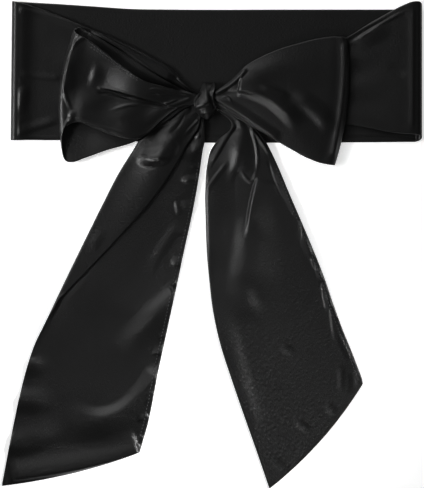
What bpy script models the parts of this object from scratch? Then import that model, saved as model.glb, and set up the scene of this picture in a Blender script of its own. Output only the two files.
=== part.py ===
"""Black satin sash, about 100 mm wide, tied in a bow and laid flat.

The waist band lies on the table as a flattened loop. Its back stretch is at the bottom, and the two
front stretches turn over at the side folds and narrow to the knot. The bow's two loops and two tails
come out from under the knot. X runs along the band, +Y from the tails to the band, and Z is up.

Every stretch of cloth is a grid of points. Its rows are sections across the ribbon, lofted from a short
table, and its wall is made by moving the grid half a wall up and half a wall down.
"""

import math
from collections import namedtuple

import bmesh
import bpy
import numpy as np

# Sizes in millimetres, turned into metres where a mesh is made.
MM = 0.001
WALL = 1.1  # the doubled satin, at about the thinnest wall that is kept for cloth
REST_GAP = 0.35  # between two stretches that lie on each other
ROW_STEP = 10.0  # the most between two rows of a grid, along the ribbon
TURN_RADIUS = 1.1  # of the lengthwise turn in the left tail
FLAP_FULL = 4.0  # the narrowest flap that lies flat over the left tail
FLAP_GONE = -14.0  # where the turn has opened out into a flat edge
MAP_HALF_X = 165  # the map of heights reaches this far from the middle
MAP_HALF_Y = 190
MIDDLE = (-0.58, -0.65, 0.0)  # of the whole sash, in the tables' numbers

SATIN_COLOUR = (0.012, 0.012, 0.013, 1.0)
SATIN_ROUGHNESS = 0.38

# One section across the ribbon: its two edges, the height of its middle above the straight line
# between them, how far its middle is pushed out along the ribbon, and the height of its gathers.
Section = namedtuple("Section", "ax ay az bx by bz arch bulge gather")

# One fold: where it starts, a point that it bends towards, where it ends, how wide each flank is
# and how high it stands. A trough has a negative height.
Fold = namedtuple("Fold", "x0 y0 x1 y1 x2 y2 width height")

BACK = [
    Section(-145.0, 179.3, 0.55, -145.0, 77.6, 0.55, 0, 0, 0),
    Section(-113.5, 177.5, 0.55, -113.5, 77.4, 0.55, 0, 0, 0),
    Section(-88.0, 175.8, 0.55, -88.0, 77.0, 0.55, 0, 0, 0),
    Section(-61.5, 174.0, 0.55, -61.5, 76.4, 0.55, 0, 0, 0),
    Section(-30.0, 173.5, 0.55, -30.0, 75.7, 0.55, 0, 0, 0),
    Section(60.0, 173.5, 0.55, 60.0, 75.4, 0.55, 0, 0, 0),
    Section(150.2, 173.5, 0.55, 150.2, 76.0, 0.55, 0, 0, 0),
]

# From the seam under the left fold, round the fold and over the back to the knot. A is the top edge.
FRONT_LEFT = [
    Section(-145.3, 179.4, 0.55, -145.3, 77.6, 0.55, 0, 0, 0),
    Section(-147.3, 179.6, 0.85, -148.2, 77.4, 0.85, 0, 0, 0),
    Section(-148.6, 179.7, 2.5, -149.6, 77.3, 2.3, 0, 0, 0),
    Section(-147.3, 179.5, 4.2, -148.4, 77.2, 3.9, 0, 0, 0),
    Section(-142.6, 178.4, 4.7, -143.8, 77.2, 4.3, 0, 0, 0),
    Section(-134.0, 176.0, 4.0, -135.0, 77.4, 3.4, 0, 0, 0),
    Section(-122.0, 171.8, 3.6, -122.0, 77.2, 2.6, 0, 0, 0),
    Section(-108.0, 166.2, 3.6, -108.0, 77.4, 2.3, 0, 0, 0.2),
    Section(-92.5, 159.5, 3.8, -90.0, 78.4, 2.3, 0, 0, 0.5),
    Section(-69.0, 150.0, 4.1, -66.0, 81.5, 2.3, 0, 0, 0.9),
    Section(-46.5, 138.5, 4.1, -44.0, 87.5, 2.3, 0, 0, 0.9),
    Section(-28.0, 127.0, 3.7, -27.0, 94.0, 2.3, 0, 0, 0.5),
    Section(-17.0, 115.5, 3.0, -17.0, 99.0, 2.3, 0, 0, 0.2),
    Section(-9.5, 110.5, 2.4, -9.5, 102.0, 2.3, 0, 0, 0),
]

# The same on the right, where the front stretch sits a little higher than the back.
FRONT_RIGHT = [
    Section(150.5, 173.6, 0.55, 150.5, 76.1, 0.55, 0, 0, 0),
    Section(153.2, 174.8, 0.85, 153.0, 77.0, 0.85, 0, 0, 0),
    Section(154.6, 176.8, 2.3, 154.6, 78.6, 2.2, 0, 0, 0),
    Section(153.6, 178.9, 3.9, 153.5, 80.6, 3.7, 0, 0, 0),
    Section(148.8, 179.3, 4.3, 148.2, 81.6, 4.0, 0, 0, 0),
    Section(140.5, 176.4, 3.7, 140.0, 82.2, 3.2, 0, 0, 0),
    Section(130.0, 171.0, 3.4, 130.0, 83.4, 2.6, 0, 0, 0),
    Section(118.0, 164.5, 3.4, 118.0, 86.0, 2.3, 0, 0, 0.2),
    Section(100.0, 153.3, 3.4, 99.5, 89.0, 2.3, 0, 0, 0.4),
    Section(72.0, 143.0, 3.5, 72.0, 91.0, 2.3, 0, 0, 0.8),
    Section(45.0, 134.0, 3.6, 45.0, 95.0, 2.3, 0, 0, 0.8),
    Section(22.0, 120.0, 3.3, 20.0, 98.5, 2.3, 0, 0, 0.4),
    Section(9.0, 112.0, 2.8, 9.0, 101.0, 2.3, 0, 0, 0.2),
    Section(-1.5, 109.5, 2.4, -1.5, 103.0, 2.3, 0, 0, 0),
]

# From the knot along the layer underneath, round the rounded side, and back over the top.
LOOP_LEFT = [
    Section(-9.5, 109.5, 5.0, -9.5, 104.5, 5.0, 0, 0, 0),
    Section(-19.0, 112.5, 4.8, -19.0, 101.5, 4.8, 0, 0, 0.2),
    Section(-35.5, 121.0, 4.4, -35.5, 90.5, 4.4, 0, 0, 0.5),
    Section(-56.0, 134.0, 4.0, -56.0, 76.8, 4.0, 0, 0, 0.7),
    Section(-79.0, 149.0, 3.8, -80.0, 69.2, 2.6, 0, 0.8, 0.4),
    Section(-92.5, 156.8, 4.0, -95.0, 63.9, 2.4, 0, 2.0, 0),
    Section(-99.8, 159.8, 5.2, -104.5, 60.9, 3.0, 0, 4.8, 0),
    Section(-102.2, 158.4, 8.2, -108.4, 61.2, 6.0, 0, 6.4, 0),
    Section(-101.4, 155.6, 11.2, -110.8, 74.0, 10.6, 0.6, 5.2, 0),
    Section(-97.2, 153.3, 13.4, -108.2, 86.0, 13.6, 1.4, 3.0, 0),
    Section(-91.5, 150.0, 14.2, -101.0, 90.4, 14.6, 2.4, 2.0, 0.3),
    Section(-84.0, 144.5, 14.2, -88.0, 86.0, 14.2, 3.0, 0.8, 0.8),
    Section(-72.5, 135.5, 13.2, -74.0, 80.7, 12.4, 3.0, 0, 1.2),
    Section(-61.5, 127.0, 12.0, -62.0, 78.2, 10.4, 2.6, 0, 1.2),
    Section(-51.0, 120.2, 11.0, -51.0, 79.8, 9.4, 2.0, 0, 1.0),
    Section(-38.5, 116.5, 10.2, -38.0, 91.5, 9.4, 1.0, 0, 0.6),
    Section(-25.5, 112.8, 9.6, -25.0, 101.2, 9.4, 0.4, 0, 0.3),
    Section(-9.5, 109.5, 9.2, -9.5, 104.0, 9.2, 0, 0, 0),
]

LOOP_RIGHT = [
    Section(-1.5, 109.5, 5.0, -1.5, 104.5, 5.0, 0, 0, 0),
    Section(12.0, 117.5, 4.8, 11.0, 99.0, 4.8, 0, 0, 0.2),
    Section(36.5, 137.0, 4.2, 33.0, 85.0, 4.2, 0, 0, 0.5),
    Section(64.5, 147.0, 4.0, 60.0, 69.4, 3.0, 0, 0, 0.4),
    Section(85.0, 151.0, 4.0, 78.0, 60.8, 2.4, 0, -2.0, 0),
    Section(96.2, 152.0, 4.6, 87.0, 58.9, 3.0, 0, -4.2, 0),
    Section(99.4, 152.0, 6.3, 90.0, 58.5, 4.9, 0, -5.0, 0),
    Section(98.0, 152.4, 8.0, 88.6, 58.8, 6.7, 0.2, -4.6, 0),
    Section(90.5, 153.2, 8.7, 80.0, 60.2, 7.5, 0.8, -3.4, 0),
    Section(79.5, 152.0, 8.9, 70.0, 63.8, 7.7, 1.4, -1.4, 0.2),
    Section(64.5, 148.5, 9.2, 56.0, 71.4, 8.0, 1.9, 0, 0.6),
    Section(49.5, 144.0, 9.4, 42.0, 79.6, 8.2, 2.1, 0, 0.9),
    Section(36.5, 138.5, 9.4, 30.0, 86.6, 8.2, 1.9, 0, 1.0),
    Section(25.0, 132.0, 9.2, 19.0, 92.8, 8.0, 1.4, 0, 0.8),
    Section(14.0, 121.5, 8.6, 10.5, 98.2, 7.8, 0.8, 0, 0.4),
    Section(-1.5, 110.0, 7.8, -1.5, 104.0, 7.6, 0, 0, 0),
]

# The tails run from the knot to their diagonal ends. A is the left edge, and B is the right.
TAIL_LEFT = [
    Section(-13.5, 105.5, 4.2, -7.0, 98.0, 4.2, 0, 0, 0),
    Section(-22.0, 102.5, 4.0, -6.6, 90.5, 4.0, 0.4, 0, 0.3),
    Section(-33.0, 97.6, 3.8, -6.2, 83.5, 3.8, 0.8, 0, 0.6),
    Section(-43.5, 90.5, 3.6, -6.3, 76.5, 3.6, 1.4, 0, 0.8),
    Section(-52.5, 79.5, 2.8, -7.6, 70.5, 3.2, 2.6, 0, 0.8),
    Section(-60.0, 67.5, 1.4, -8.8, 63.0, 2.4, 3.2, 0, 0.7),
    Section(-67.5, 55.8, 0.8, -10.1, 53.5, 1.6, 1.8, 0, 0.5),
    Section(-81.3, 29.5, 0.7, -15.0, 26.0, 1.6, 0.4, 0, 0.2),
    Section(-96.1, -0.5, 0.7, -21.5, -4.0, 1.4, 0.2, 0, 0),
    Section(-112.9, -35.0, 0.7, -30.2, -45.0, 1.4, 0, 0, 0),
    Section(-123.8, -58.0, 0.8, -37.0, -76.0, 1.2, 0, 0, 0),
    Section(-131.9, -74.5, 0.9, -41.3, -96.0, 1.2, 0, 0, 0),
    Section(-138.2, -93.5, 1.0, -44.6, -114.0, 1.2, 0, 0, 0),
    Section(-143.7, -115.5, 1.0, -48.3, -132.0, 1.1, 0, 0.8, 0),
    Section(-150.1, -146.5, 0.8, -52.4, -146.5, 0.9, 0, 2.0, 0),
    Section(-156.3, -179.0, 0.7, -54.6, -154.3, 0.7, 0, 3.3, 0),
]

# Width of the flap that is turned over the left tail, at each of its sections. Below zero the turn has
# run out past the edge.
TAIL_LEFT_FLAP = [7, 16, 25, 31, 34, 36.5, 37.5, 32, 20, 4, -6, -14, -18, -20, -20, -20]

TAIL_RIGHT = [
    Section(0.5, 101.0, 4.2, 2.5, 105.0, 4.2, 0, 0, 0),
    Section(8.5, 95.5, 4.0, 13.5, 101.0, 4.0, 0.2, 0, 0),
    Section(14.0, 89.5, 3.8, 25.0, 93.5, 3.8, 0.6, 0, 0.3),
    Section(12.5, 84.0, 3.6, 32.0, 85.5, 3.6, 1.2, 0, 0.5),
    Section(5.5, 78.5, 3.4, 37.5, 78.0, 3.4, 2.0, 0, 0.8),
    Section(-1.0, 70.0, 2.4, 42.2, 69.5, 2.8, 2.8, 0, 0.9),
    Section(-4.0, 58.5, 1.8, 47.4, 58.5, 1.8, 2.8, 0, 0.9),
    Section(-5.5, 40.0, 1.2, 55.2, 40.0, 1.2, 2.2, 0, 0.7),
    Section(-5.2, 18.0, 1.0, 64.6, 18.0, 1.0, 1.4, 0, 0.4),
    Section(-4.4, -4.5, 0.9, 73.9, -4.0, 1.0, 0.8, 0, 0.2),
    Section(-2.5, -26.5, 0.8, 82.2, -25.0, 1.0, 0.5, 0, 0),
    Section(0.2, -49.0, 0.7, 89.0, -45.0, 1.0, 0.3, 0, 0),
    Section(5.9, -75.0, 0.7, 96.0, -64.0, 1.0, 0, 0, 0),
    Section(14.3, -101.0, 0.7, 102.0, -78.5, 0.9, 0, 0, 0),
    Section(24.5, -130.5, 0.7, 107.0, -91.5, 0.8, 0, 1.0, 0),
    Section(34.0, -157.5, 0.7, 110.0, -99.5, 0.7, 0, 2.8, 0),
    Section(42.0, -181.0, 0.7, 110.9, -103.6, 0.7, 0, 4.6, 0),
]

# The section of a front stretch that starts its upper layer, past the side fold.
FRONT_UPPER = 4

# Sections that end a loop's lower layer and start its upper one, on each side of the rounded end.
LOOP_LEFT_TURN = (5, 9)
LOOP_RIGHT_TURN = (5, 8)

# Heights across the knot, from the band's side to the tails' side: where the section is, its left and
# right ends, and the top of the knot there.
KnotRow = namedtuple("KnotRow", "y left right top")
KNOT = [
    KnotRow(119.2, -6.6, 0.6, 3.4),
    KnotRow(117.6, -7.8, 1.5, 6.2),
    KnotRow(114.6, -8.8, 1.2, 9.6),
    KnotRow(111.0, -10.6, 0.2, 12.2),
    KnotRow(107.4, -13.2, 0.4, 13.8),
    KnotRow(104.0, -13.7, 1.2, 14.6),
    KnotRow(100.6, -13.2, 2.1, 14.6),
    KnotRow(97.4, -11.9, 1.0, 13.4),
    KnotRow(94.8, -9.2, -1.0, 10.8),
    KnotRow(92.4, -6.6, -2.8, 7.2),
]

FRONT_LEFT_FOLDS = [
    Fold(-98.0, 150.0, -60.0, 132.0, -30.0, 112.0, 5.0, -0.8),
    Fold(-120.0, 92.0, -90.0, 92.0, -60.0, 95.0, 9.0, 0.6),
]
FRONT_RIGHT_FOLDS = [
    Fold(100.0, 132.0, 60.0, 128.0, 25.0, 113.0, 6.0, -0.8),
    Fold(130.0, 100.0, 90.0, 100.0, 50.0, 105.0, 9.0, 0.5),
]
LOOP_LEFT_FOLDS = [
    Fold(-104.0, 126.0, -96.0, 122.0, -86.0, 120.0, 9.0, -3.0),
    Fold(-86.0, 138.0, -72.0, 126.0, -52.0, 114.0, 9.0, 1.4),
    Fold(-87.0, 113.0, -66.0, 111.0, -52.0, 103.5, 5.5, -2.4),
    Fold(-80.0, 98.0, -58.0, 105.0, -32.0, 100.0, 7.0, 1.2),
]
LOOP_RIGHT_FOLDS = [
    Fold(18.0, 113.0, 45.0, 112.0, 62.0, 90.0, 7.0, 1.6),
    Fold(20.0, 104.0, 40.0, 104.0, 60.0, 86.0, 6.0, -1.6),
    Fold(30.0, 120.0, 55.0, 112.0, 88.0, 84.0, 8.0, 1.2),
]
TAIL_LEFT_FOLDS = [
    Fold(-29.0, -37.0, -50.0, -52.0, -70.0, -90.0, 15.0, 2.4),
    Fold(-38.0, -90.0, -54.0, -126.0, -82.0, -128.0, 14.0, 2.8),
    Fold(-124.0, -66.0, -122.0, -100.0, -136.0, -120.0, 13.0, 1.4),
]
TAIL_RIGHT_FOLDS = [
    Fold(33.0, 50.0, 27.0, 5.0, 3.0, -40.0, 13.0, 2.2),
    Fold(0.0, -34.0, 6.0, -78.0, 20.0, -116.0, 13.0, 1.2),
    Fold(56.0, 40.0, 68.0, 0.0, 86.0, -46.0, 12.0, 1.0),
]


def positions_along(sections):
    """The distance of each section from the first one, along the middle of the ribbon."""
    table = np.array(sections, float)
    moved = np.diff(table[:, :6], axis=0)
    steps = (np.linalg.norm(moved[:, :3], axis=1) + np.linalg.norm(moved[:, 3:6], axis=1)) / 2
    return np.concatenate([[0.0], np.cumsum(steps)])


def smooth_between(known_at, known, at):
    """A smooth curve through a table's rows, whose slope at a row lies between those beside it."""
    slopes = np.diff(known, axis=0) / np.diff(known_at)[:, None]
    lengths = np.diff(known_at)[:, None]
    middle = (slopes[:-1] * lengths[1:] + slopes[1:] * lengths[:-1]) / (lengths[:-1] + lengths[1:])
    tangents = np.vstack([slopes[:1], middle, slopes[-1:]])
    before = np.clip(np.searchsorted(known_at, at, side="right") - 1, 0, len(known_at) - 2)
    length = (known_at[before + 1] - known_at[before])[:, None]
    t = (at - known_at[before])[:, None] / length
    return (
        (2 * t**3 - 3 * t**2 + 1) * known[before]
        + (t**3 - 2 * t**2 + t) * length * tangents[before]
        + (3 * t**2 - 2 * t**3) * known[before + 1]
        + (t**3 - t**2) * length * tangents[before + 1]
    )


def rows_between(known_at):
    """Every section, and as many rows between two as keep them ROW_STEP apart."""
    rows = [0.0]
    for start, end in zip(known_at[:-1], known_at[1:]):
        count = math.ceil((end - start) / ROW_STEP)
        rows.extend(start + (end - start) * (step + 1) / count for step in range(count))
    return np.array(rows)


def row_of(sections, number):
    """The row of a stretch's grid that lies at one of its sections."""
    known_at = positions_along(sections)
    return int(np.argmin(np.abs(rows_between(known_at) - known_at[number])))


def lofted(sections, columns, gathers):
    """The middle surface of a stretch: rows across the ribbon, with an arch and a number of gathers."""
    known_at = positions_along(sections)
    rows = rows_between(known_at)
    table = smooth_between(known_at, np.array(sections, float), rows)
    across = np.linspace(0.0, 1.0, columns)[None, :]
    edge_a = table[:, None, 0:3]
    edge_b = table[:, None, 3:6]
    grid = edge_a + (edge_b - edge_a) * across[:, :, None]
    hump = 4 * across * (1 - across)
    wave = np.cos(2 * math.pi * gathers * across + 0.02 * rows[:, None])
    grid[:, :, 2] += table[:, 6:7] * hump + table[:, 8:9] * wave
    span = (edge_b - edge_a)[:, 0, :2]
    span /= np.linalg.norm(span, axis=1, keepdims=True)
    grid[:, :, 0] += span[:, 1:2] * table[:, 7:8] * hump
    grid[:, :, 1] -= span[:, 0:1] * table[:, 7:8] * hump
    return grid


def folded(grid, folds, first_row=0):
    """Adds each fold to the rows from first_row on, as a soft ridge or trough along its curve."""
    steps = np.linspace(0.0, 1.0, 21)
    for fold in folds:
        start = np.array([fold.x0, fold.y0])
        bend = np.array([fold.x1, fold.y1])
        end = np.array([fold.x2, fold.y2])
        weights = np.stack([(1 - steps) ** 2, 2 * steps * (1 - steps), steps**2], axis=1)
        curve = weights @ np.stack([start, bend, end])
        offsets = grid[first_row:, :, None, :2] - curve[None, None]
        distances = np.linalg.norm(offsets, axis=3)
        nearest = distances.argmin(axis=2)
        flank = np.clip(distances.min(axis=2) / fold.width, 0.0, 1.0)
        fade = np.sin(math.pi * np.clip(0.12 + 0.76 * steps[nearest], 0.0, 1.0))
        grid[first_row:, :, 2] += fold.height * fade * (0.5 + 0.5 * np.cos(math.pi * flank))
    return grid


def grid_normals(grid):
    along = np.gradient(grid, axis=0)
    across = np.gradient(grid, axis=1)
    normals = np.cross(along, across)
    return normals / np.linalg.norm(normals, axis=2, keepdims=True)


def split(grid, row_parts, column_parts):
    """Points on every face of a grid, evenly over it."""
    corners = grid[:-1, :-1], grid[:-1, 1:], grid[1:, :-1], grid[1:, 1:]
    for i in range(row_parts):
        for j in range(column_parts):
            u = (i + 0.5) / row_parts
            v = (j + 0.5) / column_parts
            weights = (1 - u) * (1 - v), (1 - u) * v, u * (1 - v), u * v
            yield weights, sum(weight * corner for weight, corner in zip(weights, corners))


class HeightMap:
    """The top of everything that has been laid so far, in squares of one millimetre."""

    def __init__(self):
        self.tops = np.full((2 * MAP_HALF_X, 2 * MAP_HALF_Y), -REST_GAP)

    def squares(self, points):
        x = np.clip(np.floor(points[..., 0]).astype(int) + MAP_HALF_X, 1, 2 * MAP_HALF_X - 2)
        y = np.clip(np.floor(points[..., 1]).astype(int) + MAP_HALF_Y, 1, 2 * MAP_HALF_Y - 2)
        return x, y

    def cover(self, surface):
        row_size = np.linalg.norm(np.diff(surface, axis=0), axis=2).max()
        column_size = np.linalg.norm(np.diff(surface, axis=1), axis=2).max()
        for _, points in split(surface, math.ceil(row_size / 0.7), math.ceil(column_size / 0.7)):
            np.maximum.at(self.tops, self.squares(points), points[..., 2])

    def under(self, points):
        """The highest top within about a square of each point."""
        x, y = self.squares(points)
        around = [self.tops[x + i, y + j] for i in (-1, 0, 1) for j in (-1, 0, 1)]
        return np.max(around, axis=0)


def laid_on(grid, tops):
    """Raises points until the wall clears what lies under it. It returns how far each was raised."""
    before = grid[:, :, 2].copy()
    for _ in range(12):
        upright = np.clip(np.abs(grid_normals(grid)[:, :, 2]), 0.6, 1.0)
        clear = REST_GAP + 0.5 * WALL / upright
        clear_at_face = np.maximum(
            np.maximum(clear[:-1, :-1], clear[:-1, 1:]), np.maximum(clear[1:, :-1], clear[1:, 1:])
        )
        lift = np.maximum(tops.under(grid) + clear - grid[:, :, 2], 0.0)
        for weights, points in split(grid, 5, 5):
            short = np.maximum(tops.under(points) + clear_at_face - points[..., 2], 0.0)
            strength = sum(weight**2 for weight in weights)
            places = (
                lift[:-1, :-1],
                lift[:-1, 1:],
                lift[1:, :-1],
                lift[1:, 1:],
            )
            for weight, place in zip(weights, places):
                np.maximum(place, short * weight / strength, out=place)
        grid[:, :, 2] += lift
    return grid[:, :, 2] - before


def walled(grid):
    """The upper and lower surfaces of a wall round a middle surface."""
    normals = grid_normals(grid)
    return grid + 0.5 * WALL * normals, grid - 0.5 * WALL * normals


def satin(name):
    material = bpy.data.materials.new(name)
    material.use_nodes = True
    shader = material.node_tree.nodes["Principled BSDF"]
    shader.inputs["Base Color"].default_value = SATIN_COLOUR
    shader.inputs["Roughness"].default_value = SATIN_ROUGHNESS
    shader.inputs["Metallic"].default_value = 0.0
    return material


def node_between(name, upper, lower):
    """One closed mesh between two grids of the same size, with a rim round their edges."""
    rows, columns = upper.shape[:2]
    count = rows * columns
    points = (np.concatenate([upper.reshape(-1, 3), lower.reshape(-1, 3)]) - MIDDLE) * MM
    faces = []
    for i in range(rows - 1):
        for j in range(columns - 1):
            a = i * columns + j
            quad = [a, a + 1, a + columns + 1, a + columns]
            faces.append(quad)
            faces.append([count + corner for corner in reversed(quad)])
    border = [j for j in range(columns)]
    border += [i * columns + columns - 1 for i in range(1, rows)]
    border += [(rows - 1) * columns + j for j in range(columns - 2, -1, -1)]
    border += [i * columns for i in range(rows - 2, 0, -1)]
    for first, second in zip(border, border[1:] + border[:1]):
        faces.append([second, first, count + first, count + second])
    mesh = bpy.data.meshes.new(name)
    mesh.from_pydata(points.tolist(), [], faces)
    editing = bmesh.new()
    editing.from_mesh(mesh)
    if editing.calc_volume(signed=True) < 0:
        bmesh.ops.reverse_faces(editing, faces=editing.faces)
    editing.to_mesh(mesh)
    editing.free()
    mesh.materials.append(satin(name))
    node = bpy.data.objects.new(name, mesh)
    bpy.context.scene.collection.objects.link(node)


def cloth_node(name, grid, tops):
    """Makes a stretch, and adds its top to the map for what is laid on it later."""
    upper, lower = walled(grid)
    node_between(name, upper, lower)
    tops.cover(upper)
    tops.cover(lower)


def front(sections, columns, folds, tops):
    """A front stretch: its fold at the side is free, and the rest lies on the back of the band."""
    upper_from = row_of(sections, FRONT_UPPER)
    grid = folded(lofted(sections, columns, 3), folds, upper_from)
    laid_on(grid[upper_from:], tops)
    return grid


def looped(sections, columns, folds, turn, tops):
    """A loop: its lower layer lies on what is below it, and its upper layer clears both."""
    lower_end = row_of(sections, turn[0]) + 1
    upper_from = row_of(sections, turn[1])
    grid = folded(lofted(sections, columns, 2), folds, upper_from)
    lower_lift = laid_on(grid[:lower_end], tops)
    with_lower = HeightMap()
    with_lower.tops = tops.tops.copy()
    for surface in walled(grid[:lower_end]):
        with_lower.cover(surface)
    upper_lift = laid_on(grid[upper_from:], with_lower)
    for i in range(lower_end, upper_from):
        share = (i - lower_end + 1) / (upper_from - lower_end + 1)
        grid[i, :, 2] += lower_lift[-1] * (1 - share) + upper_lift[0] * share
    return grid


def turned_edge(flap):
    """Across and up for each point of the turned edge, from the flap's free edge to the main layer."""
    opened = np.clip((flap - FLAP_GONE) / (FLAP_FULL - FLAP_GONE), 0.0, 1.0)
    arc_steps = 6
    step = math.pi * TURN_RADIUS / arc_steps
    turn = math.pi * opened / arc_steps
    across = [0.0]
    up = [0.0]
    for i in range(arc_steps):
        heading = turn * (i + 0.5)
        across.append(across[-1] - step * math.cos(heading))
        up.append(up[-1] + step * math.sin(heading))
    heading = math.pi * opened
    straight = max(flap - TURN_RADIUS, 0.8)
    for _ in range(4):
        across.append(across[-1] - straight / 4 * math.cos(heading))
        up.append(up[-1] + straight / 4 * math.sin(heading))
    across = np.array(across[::-1])
    return across - across.min(), np.array(up[::-1])


def with_flap(sheet, flaps, columns):
    """The left tail: each row of the sheet, with its left part turned over on top of it."""
    rows = []
    for row, flap in zip(sheet, flaps):
        edge_across, edge_up = turned_edge(flap)
        lengths = np.linalg.norm(np.diff(row, axis=0), axis=1)
        known_at = np.concatenate([[0.0], np.cumsum(lengths)])
        main = np.linspace(edge_across[-1], known_at[-1], columns)[1:]
        across = np.concatenate([edge_across, main])
        up = np.concatenate([edge_up, np.zeros(len(main))])
        points = np.stack([np.interp(across, known_at, row[:, axis]) for axis in range(3)], axis=1)
        points[:, 2] += up
        rows.append(points)
    return np.array(rows)


def knot_surfaces(tops):
    """The knot's upper surface, and its underside over the cloth that it holds."""
    rows = np.linspace(0.0, len(KNOT) - 1.0, 16)
    table = smooth_between(np.arange(len(KNOT), dtype=float), np.array(KNOT, float), rows)
    across = np.linspace(-1.0, 1.0, 13)[None, :]
    x = (table[:, 1:2] + table[:, 2:3]) / 2 + (table[:, 2:3] - table[:, 1:2]) / 2 * across
    y = np.repeat(table[:, 0:1], 13, axis=1)
    lower = np.stack([x, y, np.zeros_like(x)], axis=2)
    lower[:, :, 2] = tops.under(lower) + REST_GAP
    for _ in range(3):
        padded = np.pad(lower[:, :, 2], 1, mode="edge")
        smoothed = (padded[:-2, 1:-1] + padded[2:, 1:-1] + padded[1:-1, :-2] + padded[1:-1, 2:]) / 4
        lower[:, :, 2] = np.maximum(lower[:, :, 2], smoothed)
    upper = lower.copy()
    rounded = np.sqrt(np.clip(1 - 0.85 * across**2, 0.0, 1.0))
    crease = 0.9 * np.exp(-(((across - 0.15) / 0.16) ** 2))
    design = table[:, 3:4] * (0.35 + 0.65 * rounded) - crease
    upper[:, :, 2] = np.maximum(design, lower[:, :, 2] + WALL)
    return upper, lower


def build():
    for old in list(bpy.data.objects):
        bpy.data.objects.remove(old, do_unlink=True)
    tops = HeightMap()
    cloth_node("band_back", lofted(BACK, 2, 0), tops)

    cloth_node("band_front_left", front(FRONT_LEFT, 17, FRONT_LEFT_FOLDS, tops), tops)
    cloth_node("band_front_right", front(FRONT_RIGHT, 15, FRONT_RIGHT_FOLDS, tops), tops)

    sheet = folded(lofted(TAIL_LEFT, 25, 2), TAIL_LEFT_FOLDS)
    laid_on(sheet, tops)
    known_at = positions_along(TAIL_LEFT)
    flaps = smooth_between(known_at, np.array(TAIL_LEFT_FLAP, float)[:, None], rows_between(known_at))
    cloth_node("tail_left", with_flap(sheet, flaps[:, 0], 12), tops)

    tail_right = folded(lofted(TAIL_RIGHT, 16, 2), TAIL_RIGHT_FOLDS)
    laid_on(tail_right, tops)
    cloth_node("tail_right", tail_right, tops)

    loop_left = looped(LOOP_LEFT, 17, LOOP_LEFT_FOLDS, LOOP_LEFT_TURN, tops)
    cloth_node("bow_loop_left", loop_left, tops)
    loop_right = looped(LOOP_RIGHT, 15, LOOP_RIGHT_FOLDS, LOOP_RIGHT_TURN, tops)
    cloth_node("bow_loop_right", loop_right, tops)

    node_between("knot", *knot_surfaces(tops))


build()
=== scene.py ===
import math
from collections import namedtuple

import bpy
import numpy as np
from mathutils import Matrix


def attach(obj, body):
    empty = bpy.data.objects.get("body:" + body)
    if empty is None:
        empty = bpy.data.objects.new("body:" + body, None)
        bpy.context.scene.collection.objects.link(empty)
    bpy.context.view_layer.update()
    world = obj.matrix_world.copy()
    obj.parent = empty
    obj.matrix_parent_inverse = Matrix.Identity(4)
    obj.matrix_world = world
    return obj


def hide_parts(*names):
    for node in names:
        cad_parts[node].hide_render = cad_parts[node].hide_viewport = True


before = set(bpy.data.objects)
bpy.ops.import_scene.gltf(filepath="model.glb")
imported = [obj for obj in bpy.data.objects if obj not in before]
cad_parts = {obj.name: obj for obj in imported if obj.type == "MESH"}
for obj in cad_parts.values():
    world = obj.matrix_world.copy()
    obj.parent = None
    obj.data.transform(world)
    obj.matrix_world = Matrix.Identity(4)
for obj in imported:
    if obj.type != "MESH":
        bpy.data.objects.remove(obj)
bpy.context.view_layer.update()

# The back of the band.
# It is the lowest stretch of one long ribbon of black satin, which was sewn double, turned right side
# out and pressed. It lies flat on the table, and its lower long edge carries the seam.
MM = 0.001  # sizes are in millimetres until a mesh is made
MIDDLE = np.array([-0.58, -0.65, 0.0])  # of the whole sash, in the tables' numbers
WIDTH = 101.6  # of the flat ribbon
CLOTH = 0.8  # thickness of the doubled satin
APART = 1.45  # from the middle of one layer to the middle of the one that it lies on
STEP = 1.0  # between the rows and columns of a mesh

# Two edges of a section across the ribbon, the height of its middle over the straight line between
# them, how far its middle is pushed out along the ribbon, and the height of its gathers.
Section = namedtuple("Section", "ax ay az bx by bz arch bulge gather")

# A crease along a curve: its start, middle and end, the width of its left and right flanks as one walks
# along it, how high it stands, how sharp its crest is, from 0 to 1, and the shares of its length over
# which it rises at its start and dies away at its end.
Crease = namedtuple("Crease", "x0 y0 x1 y1 x2 y2 left right height crest rise fall")


def positions_along(sections):
    """How far each section lies along the ribbon."""
    moved = np.diff(np.array(sections, float)[:, :6], axis=0)
    steps = (np.linalg.norm(moved[:, :3], axis=1) + np.linalg.norm(moved[:, 3:], axis=1)) / 2
    return np.concatenate([[0.0], np.cumsum(steps)])


def smooth_between(known_at, known, at):
    """Values on a smooth curve through the known ones."""
    lengths = np.diff(known_at)[:, None]
    slopes = np.diff(known, axis=0) / lengths
    middle = (slopes[:-1] * lengths[1:] + slopes[1:] * lengths[:-1]) / (lengths[:-1] + lengths[1:])
    tangents = np.vstack([slopes[:1], middle, slopes[-1:]])
    before = np.clip(np.searchsorted(known_at, at, side="right") - 1, 0, len(known_at) - 2)
    length = lengths[before]
    t = (at - known_at[before])[:, None] / length
    return (
        (2 * t**3 - 3 * t**2 + 1) * known[before]
        + (t**3 - 2 * t**2 + t) * length * tangents[before]
        + (3 * t**2 - 2 * t**3) * known[before + 1]
        + (t**3 - t**2) * length * tangents[before + 1]
    )


def rows_between(known_at):
    """Places of a mesh's rows, with four or more from one section to the next."""
    rows = [0.0]
    for start, end in zip(known_at[:-1], known_at[1:]):
        count = max(4, math.ceil((end - start) / STEP))
        rows.extend(start + (end - start) * (step + 1) / count for step in range(count))
    return np.array(rows)


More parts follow.
